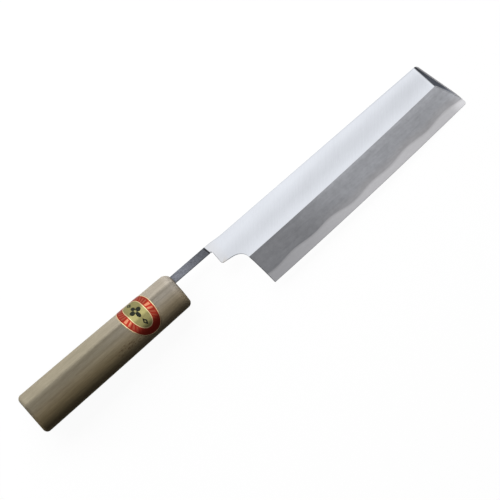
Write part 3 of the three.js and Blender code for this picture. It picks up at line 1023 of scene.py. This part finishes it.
def rgba(tint):
    """A colour for a socket: a link as it is, or three numbers with full alpha."""
    return tint if isinstance(tint, Value) else (*tint, 1.0)


# What the finishes follow: places and sizes in millimetres, a direction, a tint and a count
STROKE_WAY = (0.64, 0.77)
FLAT_MIDDLE = 9.0
FACET_FOOT = (-31.8, -28.0)
SKIN_END = -2.15
SKIN_END_SLANT = 0.185
TANG_MIDDLE = -1.9
PITH = (-62, -48)
# Tint of the painted shade on the handle's edge side
SHADE_TINT = (1.04, 0.93, 0.72)
# Middle of the painted highlight below the handle's ridge
PALE_HIGHLIGHT_Y = -5.6
SCUFFED_X = -78
SCUFFED_Y = -15.5
BARS = 34
LABEL_RIDGE_Y = -3.5
LOZENGE = (1.5, 2.3)
LOZENGE_UP = 7.4
LEAST = 0.001


def shaded_corner(t, base, finish):
    """A colour darkened along the corners of the heel and the neck."""
    return t.mix(t.step(t.mark("corner"), 0.3, 0.75) * 0.55, base, finish.corner)


def iron_material(scene):
    """Bright flat with slanting strokes, misty bevel, dark facet and dark forge skin on the tang."""
    finish = colours(scene.usuba_finish)
    blade = Blade(scene)
    t = Tree(bpy.data.materials.new("iron"))
    knife = t.place()
    x, y, _ = t.parts(knife)
    above_ridge = t.mark("above_ridge")
    above_weld = t.mark("above_weld")
    below_spine = t.mark("below_spine")
    past = t.mark("past_arris")

    way_x, way_y = STROKE_WAY
    slant = t.node("ShaderNodeCombineXYZ", None, {0: x * way_x + y * way_y, 1: y * way_x - x * way_y})
    strokes = t.noise(slant, (0.06, 0.8, 1.0), 4.0, 0.65)
    fine = t.noise(slant, (0.3, 6.0, 1.0), 2.0)
    clouds = t.noise(knife, (0.05, 0.08, 0.1), 3.0)
    # Painted reflection: the flat's tone is raised near the ridge and near the spine and left lower in its
    # middle.
    middle = t.step(abs(above_ridge - FLAT_MIDDLE), 0.0, 9.5)
    near_spine = t.step(below_spine, 7.0, 2.0) * t.step(x, 30, 60)
    flat_tone = 0.675 + strokes * 0.2 + fine * 0.13 + clouds * 0.12 + middle * 0.13 + near_spine * 0.04
    # Painted highlight: a lighter band on the flat along the facet's arris.
    flat_tone = flat_tone + t.step(past, -1.6, -0.3) * 0.05
    flat = t.tone(finish.flat, flat_tone)

    drift = t.noise(knife, (0.03, 0.05, 0.1), 2.0) * 14 - 7
    along = t.step(x + drift + above_ridge * 0.6, 36, 96)
    mist = t.noise(knife, (0.22, 0.32, 0.3), 4.0, 0.65)
    streaks = t.noise(knife, (0.05, 0.8, 0.8), 3.0)
    grind = t.noise(knife, (0.03, 4.0, 4.0), 3.0)
    # Painted reflection: along takes the bevel from its heel tone to the paler tip tone.
    bevel = t.mix(along, finish.bevel, finish.bevel_tip_lit)
    near_weld = 1.0 + t.step(above_weld, 3.5, 0.5) * (along * 0.08 - 0.04)
    near_ridge = 1.0 + t.step(above_ridge, -4.5, -0.8) * along * 0.13
    to_tip = blade.tip_x - x
    # Painted highlight: the bevel is made brighter close to the tip.
    tip_highlight = t.step(to_tip, 32, 0, 1.0, 1.08) * t.step(to_tip, 9, 2, 1.0, 1.22)
    bevel_tone = 0.5 + mist * 0.64 + streaks * 0.26 + grind * 0.12
    bevel = t.tone(bevel, bevel_tone * near_weld * near_ridge * tip_highlight)
    bevel = t.mix(t.step(above_weld, 6.0, 0.5) * along * 0.25, bevel, finish.weld_haze)

    on_flat = t.step(above_ridge, -0.06, 0.06)
    # Painted highlight: a pale line along the flat's side of the ridge.
    ridge_line = t.step(abs(above_ridge - 0.1), 0.5, 0.1)
    base = t.mix(on_flat, bevel, flat)
    base = t.mix(ridge_line * on_flat * 0.5, base, finish.arris_glint)

    band = 0.5 - on_flat * 0.45
    on_facet = t.step(past - band, 0.0, 0.25) * t.step(y, *FACET_FOOT)
    arris = t.step(past, -0.25, 0.05) * (1.0 - on_facet)
    # Painted reflection: the facet is darker at its spine end and lighter towards its foot.
    facet_tone = (0.8 + grind * 0.4) * t.step(y, -1, -13, 0.5, 1.0) * t.step(y, -20, -28, 1.0, 1.8)
    # Painted highlight along the facet's arris.
    base = t.mix(arris * (0.35 + on_flat * 0.5), base, finish.arris_glint)
    base = t.mix(on_facet, base, t.tone(finish.facet, facet_tone))
    base = shaded_corner(t, base, finish)

    past_skin = x - SKIN_END + (y - blade.size.neck_rise) * SKIN_END_SLANT
    on_tang = t.step(y, -6.6, -6.0)
    skin_share = t.step(past_skin, 0.12, -0.12) * on_tang
    scale = t.noise(knife, (0.8, 1.3, 1.3), 4.0, 0.7)
    # Painted shade: the tang is darker along its two long sides.
    tang_side_shade = t.step(abs(y - TANG_MIDDLE), 2.0, 2.6, 1.0, 0.5)
    tang_fade = t.step(x, -3, -25, 0.66, 1.24)
    skin = t.tone(finish.skin, scale * 2.1 * tang_side_shade * tang_fade)
    # Painted shadow: a near-black line where the forge skin ends at the tang's step into the neck.
    step_shadow = t.step(abs(past_skin + 0.4), 0.75, 0.25) * on_tang
    warm = t.step(x * 0.6 - y, 13.5, 15.5) * t.step(x, 6.0, 1.0)
    # Painted highlight: the neck's flat next to the shoulder is made paler.
    base = t.mix(t.step(x, 8.0, 0.0) * on_flat * 0.45, base, finish.neck)
    base = t.mix(warm * 0.5, base, finish.neck_warm)
    base = t.mix(skin_share, base, skin)
    base = t.mix(step_shadow * 0.85, base, finish.skin_end_shadow)

    rough = t.blend(on_flat, 0.36 + mist * 0.12, 0.24 + strokes * 0.14)
    rough = t.blend(on_facet, rough, t.step(y, -20, -30, 0.28, 0.55))
    rough = t.blend(skin_share, rough, 0.45 + scale * 0.25)
    height = t.blend(skin_share, strokes * 0.4 + fine * 0.6, scale * 7.0)
    metal = 1.0 - skin_share * 0.35
    return t.surface(base_color=base, metallic=metal, roughness=rough, normal=t.bump(height, 0.004))


def steel_material(scene):
    """Paler misty strip along the edge, and a satin back whose flat rim is bright."""
    finish = colours(scene.usuba_finish)
    t = Tree(bpy.data.materials.new("steel"))
    knife = t.place()
    x, _, _ = t.parts(knife)
    above_edge = t.mark("above_edge")
    above_weld = t.mark("above_weld")
    hollow = t.mark("hollow")
    upper = t.step(t.mark("side"), -0.2, 0.2)

    mist = t.noise(knife, (0.3, 0.6, 0.5), 4.0, 0.65)
    grind = t.noise(knife, (0.03, 5.0, 5.0), 3.0)
    # Painted reflection: the strip goes from its heel tone to the paler tip tone.
    strip = t.mix(t.step(x, 10, 120), finish.steel, finish.steel_tip_lit)
    near_weld = t.step(above_weld, -1.6, 0.0, 1.0, 0.82)
    near_edge = t.step(above_edge, 0.1, 0.5, 0.6, 1.0)
    to_tip = Blade(scene).tip_x - x
    # Painted highlight: the steel strip is made brighter close to the tip.
    tip_highlight = t.step(to_tip, 22, 0, 1.0, 1.05) * t.step(to_tip, 11, 2, 1.0, 1.35)
    strip = t.tone(strip, (0.82 + mist * 0.26 + grind * 0.1) * near_weld * near_edge * tip_highlight)
    strip = shaded_corner(t, strip, finish)

    across = t.noise(knife, (2.5, 0.05, 0.5), 3.0, 0.6)
    in_hollow = t.step(hollow, 0.004, 0.02)
    back = t.tone(finish.back, (0.9 + across * 0.2) * (1.12 - in_hollow * 0.12))
    base = t.mix(upper, back, strip)
    back_rough = 0.18 + in_hollow * 0.14 + across * 0.08
    rough = t.blend(upper, back_rough, 0.3 + mist * 0.1)
    lines = t.bump(across * 0.6 + grind * 0.4, 0.003)
    return t.surface(base_color=base, metallic=1.0, roughness=rough, normal=lines)


def wood_material(scene):
    """Pale fine-grained wood: fibres and pores along the handle, year rings round a far-off pith.

    It is scuffed on the edge side. Painted shade makes the edge side warmer and darker towards the butt and
    the bottom and the slot near-black; painted light makes it paler towards the front, below the ridge near
    the front and round the front's rim.
    """
    finish = colours(scene.usuba_finish)
    t = Tree(bpy.data.materials.new("wood"))
    knife = t.place()
    x, y, z = t.parts(knife)
    end = t.mark("end")
    in_slot = t.mark("in_slot")

    wobble = t.noise(knife, (0.012, 0.05, 0.05), 2.0)
    pith = t.node("ShaderNodeCombineXYZ", None, {1: y - PITH[0], 2: z - PITH[1]})
    far = t.node("ShaderNodeVectorMath", {"operation": "LENGTH"}, {0: pith}, "Value") + wobble * 9
    ring = t.math("SINE", far * 2.3) * 0.5 + 0.5
    late = t.step(ring, 0.5, 1.0)
    fibre = t.noise(knife, (0.05, 1.1, 1.1), 5.0, 0.7)
    cloudy = t.noise(knife, (0.22, 0.6, 0.6), 4.0, 0.7)
    fine = t.noise(knife, (0.14, 3.2, 3.2), 3.0, 0.6)
    streak = t.step(t.noise(knife, (0.02, 0.26, 0.26), 3.0), 0.52, 0.74)
    blotch = t.noise(knife, (0.04, 0.12, 0.12), 3.0)
    pores = t.step(t.noise(knife, (0.4, 8.0, 8.0), 1.0), 0.66, 0.76)

    # Painted light: the wood is made paler and pinker towards the front.
    near_front = t.step(x, -100, -45)
    pale = t.mix(near_front, finish.wood, finish.wood_front_lit)
    base = t.mix(streak * 0.24 + late * 0.14, pale, finish.wood_dark)
    edge_side = t.step(y, -0.8, -3.8)
    # Painted shade: the edge side darkens towards the butt.
    butt_shade = edge_side * t.step(x, -72, -130) * 0.3
    base = t.mix(butt_shade, base, finish.wood_dark)
    # Painted highlight: paler below the ridge near the front, and round the front's rim.
    pale_highlight = t.step(abs(y - PALE_HIGHLIGHT_Y), 3.0, 0.8) * t.step(x, -58, -42) * 0.3
    base = t.mix(pale_highlight + t.step(x, -37.5, -32.5) * 0.4, base, finish.wood_pale_highlight)
    # Painted shade: the edge side takes a warmer tint.
    base = t.mix(t.step(y, -4, -16), base, t.vector_math("MULTIPLY", base, SHADE_TINT))
    # Painted shade: the wood darkens towards its bottom edge.
    bottom_shade = t.step(y - blotch * 5.0, -18.0, -24.0)
    grain = 0.41 + fibre * 0.36 + fine * 0.4 + blotch * 0.1 + cloudy * 0.28
    base = t.tone(base, grain * (1.0 - bottom_shade * 0.25))
    base = t.mix(pores * 0.4, base, finish.wood_dark)
    scuffed = t.step(abs(x - SCUFFED_X), 15, 5) * t.step(abs(y - SCUFFED_Y), 4.0, 1.5)
    scuffs = scuffed * t.step(t.noise(knife, (0.45, 1.0, 1.0), 4.0, 0.7), 0.5, 0.62)
    base = t.mix(scuffs * 0.55, base, finish.scuff)
    base = t.mix(end * (0.35 + late * 0.3), base, finish.wood_dark)
    # Painted shade: the slot and its mouth are near-black.
    base = t.mix(in_slot, base, finish.char)
    height = fibre * 0.5 + fine * 0.5 - pores * 0.8
    rough = 0.56 + fibre * 0.16
    pored = t.bump(height, 0.02)
    return t.surface(base_color=base, roughness=rough, specular_ior_level=0.04, normal=pored)


def foil_material(scene):
    """Foil: a red border with pale bars between gold lines, round a gold field with an inked flower.

    Its head and foot are darkened with painted shade, and a painted highlight brightens it along the
    handle's ridge.
    """
    finish = colours(scene.usuba_finish)
    label = millimetres(scene.usuba_label)
    t = Tree(bpy.data.materials.new("foil"))
    p, q = t.mark("disc_p"), t.mark("disc_q")
    across, up = p * (label.length / 2), q * (label.arc / 2)
    disc = t.math("SQRT", p * p + q * q)
    reach = t.math("SQRT", across * across + up * up)
    inward = reach * (1.0 - disc) / (disc + LEAST)
    cell = t.math("FRACT", t.math("ARCTAN2", q, p) * (BARS / math.tau) + BARS)
    middle = (label.rim + label.border) / 2
    knife = t.place()
    _, y, _ = t.parts(knife)
    # Painted highlight: the foil and its bars brighten along the handle's ridge.
    ridge_highlight = t.step(abs(y - LABEL_RIDGE_Y), 3.7, 1.4)
    bar = t.step(abs(cell - 0.5), 0.3, 0.22) * t.step(abs(inward - middle), 1.75, 1.6)
    bar = bar * (0.3 + ridge_highlight * 0.5) * t.step(q, 0.75, 0.25)

    petal = abs(t.math("COSINE", t.math("ARCTAN2", up, across) * 2))
    flower = t.step(reach - (1.2 + petal * 2.8), 0.12, -0.12) * t.step(reach, 0.7, 0.85)
    lozenge = abs(across) / LOZENGE[0] + abs(abs(up) - LOZENGE_UP) / LOZENGE[1]
    motif = flower + t.step(lozenge, 1.05, 0.95) * t.step(lozenge, 0.3, 0.4)

    in_border = t.step(inward, label.border + 0.06, label.border - 0.06)
    line = t.step(abs(inward - label.border), 0.32, 0.22)
    on_rim = t.step(inward, label.rim + 0.05, label.rim - 0.05)
    grain = t.noise(knife, (0.6, 0.6, 0.6), 3.0)
    base = t.mix(motif, t.tone(finish.foil, 0.8 + grain * 0.4), finish.ink)
    base = t.mix(in_border, base, t.mix(bar, finish.border, finish.bar))
    base = t.mix(line + on_rim, base, finish.gold)
    # Painted shade: the label darkens towards its head and more towards its foot.
    foot = t.step(q, 0.3, 0.84, 1.0, 0.4)
    head = t.step(q, -0.25, -0.7, 1.0, 0.8)
    base = t.tone(base, foot * head * (1.0 + ridge_highlight * 0.75))
    metal = 0.85 - motif * 0.7 - in_border * 0.1
    creased = t.bump(grain, 0.02)
    return t.surface(base_color=base, metallic=metal, roughness=0.24, specular_ior_level=0.1, normal=creased)


def floor_material(scene):
    """Floor that shows white with a faint shadow, and lights the knife as a grey one would."""
    stage = scene.usuba_stage
    t = Tree(bpy.data.materials.new("floor"))
    mirrored = t.ray("Glossy") + t.ray("Transmission")
    clamped = {"operation": "ADD", "use_clamp": True}
    seen = t.node("ShaderNodeMath", clamped, {0: t.ray("Camera"), 1: mirrored})
    white = t.node("ShaderNodeBsdfDiffuse", None, {"Color": (stage.floor, stage.floor, stage.floor, 1)})
    glow = t.node("ShaderNodeEmission", None, {"Color": (1, 1, 1, 1), "Strength": stage.floor_glow})
    shown = t.node("ShaderNodeAddShader", None, {0: white, 1: glow})
    mixed = t.node("ShaderNodeMixShader", None, {0: seen, 1: white, 2: shown})
    t.node("ShaderNodeOutputMaterial", None, {"Surface": mixed})
    return t.owner


# The stage

FLOOR_REACH = 20.0
FLOOR_DROP = 0.00005
OVERHEAD = tuple(Vector((0.04, 0.02, 1.0)).normalized())
SPINE_SIDE = (0, 0.87, 0.5)
LAMP_SIZE = (2.0, 0.93)
LAMP_PLACE = (-0.05, 0.866, 0.5)
SENSOR_WIDTH = 36
CLIP = (0.1, 100)


def studio_world(stage):
    """A studio: white to the camera, and to reflections a bright ceiling over grey walls.

    The wall on the spine side is paler. As a light, ceiling and walls are dim.
    """
    t = Tree(bpy.data.worlds.new("studio"))
    toward = t.node("ShaderNodeTexCoord", None, None, "Generated")
    glossy = t.ray("Glossy")
    spine_side = t.vector_math("DOT_PRODUCT", toward, SPINE_SIDE, "Value")
    walls = t.step(spine_side, 0.3, 0.95, stage.walls, stage.spine_wall)
    around = stage.horizon + glossy * (walls - stage.horizon)
    over = stage.fill + glossy * (stage.sky - stage.fill)
    overhead = t.step(t.vector_math("DOT_PRODUCT", toward, OVERHEAD, "Value"), 0.86, 0.985)
    light = around + overhead * (over - around)
    light = light + t.ray("Camera") * (1.0 - light)
    background = t.node("ShaderNodeBackground", None, {"Color": (1, 1, 1, 1), "Strength": light})
    t.node("ShaderNodeOutputWorld", None, {"Surface": background})
    return t.owner


def build_stage(scene):
    """A white floor, the studio's world, one soft lamp on the spine side and the camera over the knife."""
    stage = scene.usuba_stage
    scene.world = studio_world(stage)
    mesh = bpy.data.meshes.new("floor")
    square = ((-1, -1), (1, -1), (1, 1), (-1, 1))
    corners = [(a * FLOOR_REACH, b * FLOOR_REACH, -FLOOR_DROP) for a, b in square]
    mesh.from_pydata(corners, [], [(0, 1, 2, 3)])
    mesh.materials.append(floor_material(scene))
    floor = bpy.data.objects.new("floor", mesh)
    scene.collection.objects.link(floor)

    lamp = bpy.data.lights.new("key", "AREA")
    lamp.shape = "RECTANGLE"
    lamp.size, lamp.size_y = LAMP_SIZE
    lamp.energy = stage.key
    key = bpy.data.objects.new("key", lamp)
    key.location = LAMP_PLACE
    key.rotation_euler = (-key.location).to_track_quat("-Z", "Y").to_euler()
    key.visible_glossy = False
    scene.collection.objects.link(key)

    view = bpy.data.cameras.new("camera")
    view.sensor_width = SENSOR_WIDTH
    view.lens = SENSOR_WIDTH * stage.distance / stage.view_width
    view.clip_start, view.clip_end = CLIP
    camera = bpy.data.objects.new("camera", view)
    camera.location = (stage.view_x, stage.view_y, stage.distance)
    camera.rotation_euler = (0, 0, stage.view_turn)
    scene.collection.objects.link(camera)
    scene.camera = camera
    scene.view_settings.view_transform = "Standard"


# Operators, panel and registration

class USUBA_OT_stage(bpy.types.Operator):
    """Set up the floor, the light and the camera"""

    bl_idname = "usuba.stage"
    bl_label = "Stage"

    def execute(self, context):
        build_stage(context.scene)
        return {"FINISHED"}


class USUBA_OT_blade_iron(bpy.types.Operator):
    """Build the blade's iron with its neck and tang"""

    bl_idname = "usuba.blade_iron"
    bl_label = "Blade Iron"

    def execute(self, context):
        build_blade_iron(context.scene)
        return {"FINISHED"}


class USUBA_OT_edge_steel(bpy.types.Operator):
    """Build the edge steel with its hollow back"""

    bl_idname = "usuba.edge_steel"
    bl_label = "Edge Steel"

    def execute(self, context):
        build_edge_steel(context.scene)
        return {"FINISHED"}


class USUBA_OT_handle(bpy.types.Operator):
    """Build the wooden handle"""

    bl_idname = "usuba.handle"
    bl_label = "Handle"

    def execute(self, context):
        build_handle(context.scene)
        return {"FINISHED"}


class USUBA_OT_label(bpy.types.Operator):
    """Build the foil label on the handle"""

    bl_idname = "usuba.label"
    bl_label = "Label"

    def execute(self, context):
        build_label(context.scene)
        return {"FINISHED"}


class USUBA_PT_panel(bpy.types.Panel):
    """Steps that build the knife"""

    bl_idname = "USUBA_PT_panel"
    bl_label = "Usuba Knife"
    bl_space_type = "VIEW_3D"
    bl_region_type = "UI"
    bl_category = "Usuba"

    def draw(self, context):
        for operator in OPERATORS:
            self.layout.operator(operator.bl_idname)
        for group in GROUPS:
            owner = getattr(context.scene, group)
            for key in owner.__annotations__:
                self.layout.prop(owner, key)


OPERATORS = (USUBA_OT_stage, USUBA_OT_blade_iron, USUBA_OT_edge_steel, USUBA_OT_handle, USUBA_OT_label)
GROUPS = {
    "usuba_stage": UsubaStage,
    "usuba_blade": UsubaBladeSizes,
    "usuba_tang": UsubaTangSizes,
    "usuba_handle": UsubaHandleSizes,
    "usuba_label": UsubaLabelSizes,
    "usuba_finish": UsubaFinish,
}


def register():
    for group in GROUPS.values():
        bpy.utils.register_class(group)
    for key, group in GROUPS.items():
        setattr(bpy.types.Scene, key, PointerProperty(type=group))
    for operator in OPERATORS:
        bpy.utils.register_class(operator)
    bpy.utils.register_class(USUBA_PT_panel)


def unregister():
    bpy.utils.unregister_class(USUBA_PT_panel)
    for operator in reversed(OPERATORS):
        bpy.utils.unregister_class(operator)
    for key in GROUPS:
        delattr(bpy.types.Scene, key)
    for group in reversed(list(GROUPS.values())):
        bpy.utils.unregister_class(group)


def main():
    register()
    bpy.ops.usuba.stage()
    bpy.ops.usuba.blade_iron()
    bpy.ops.usuba.edge_steel()
    bpy.ops.usuba.handle()
    bpy.ops.usuba.label()


if __name__ == "__main__":
    main()
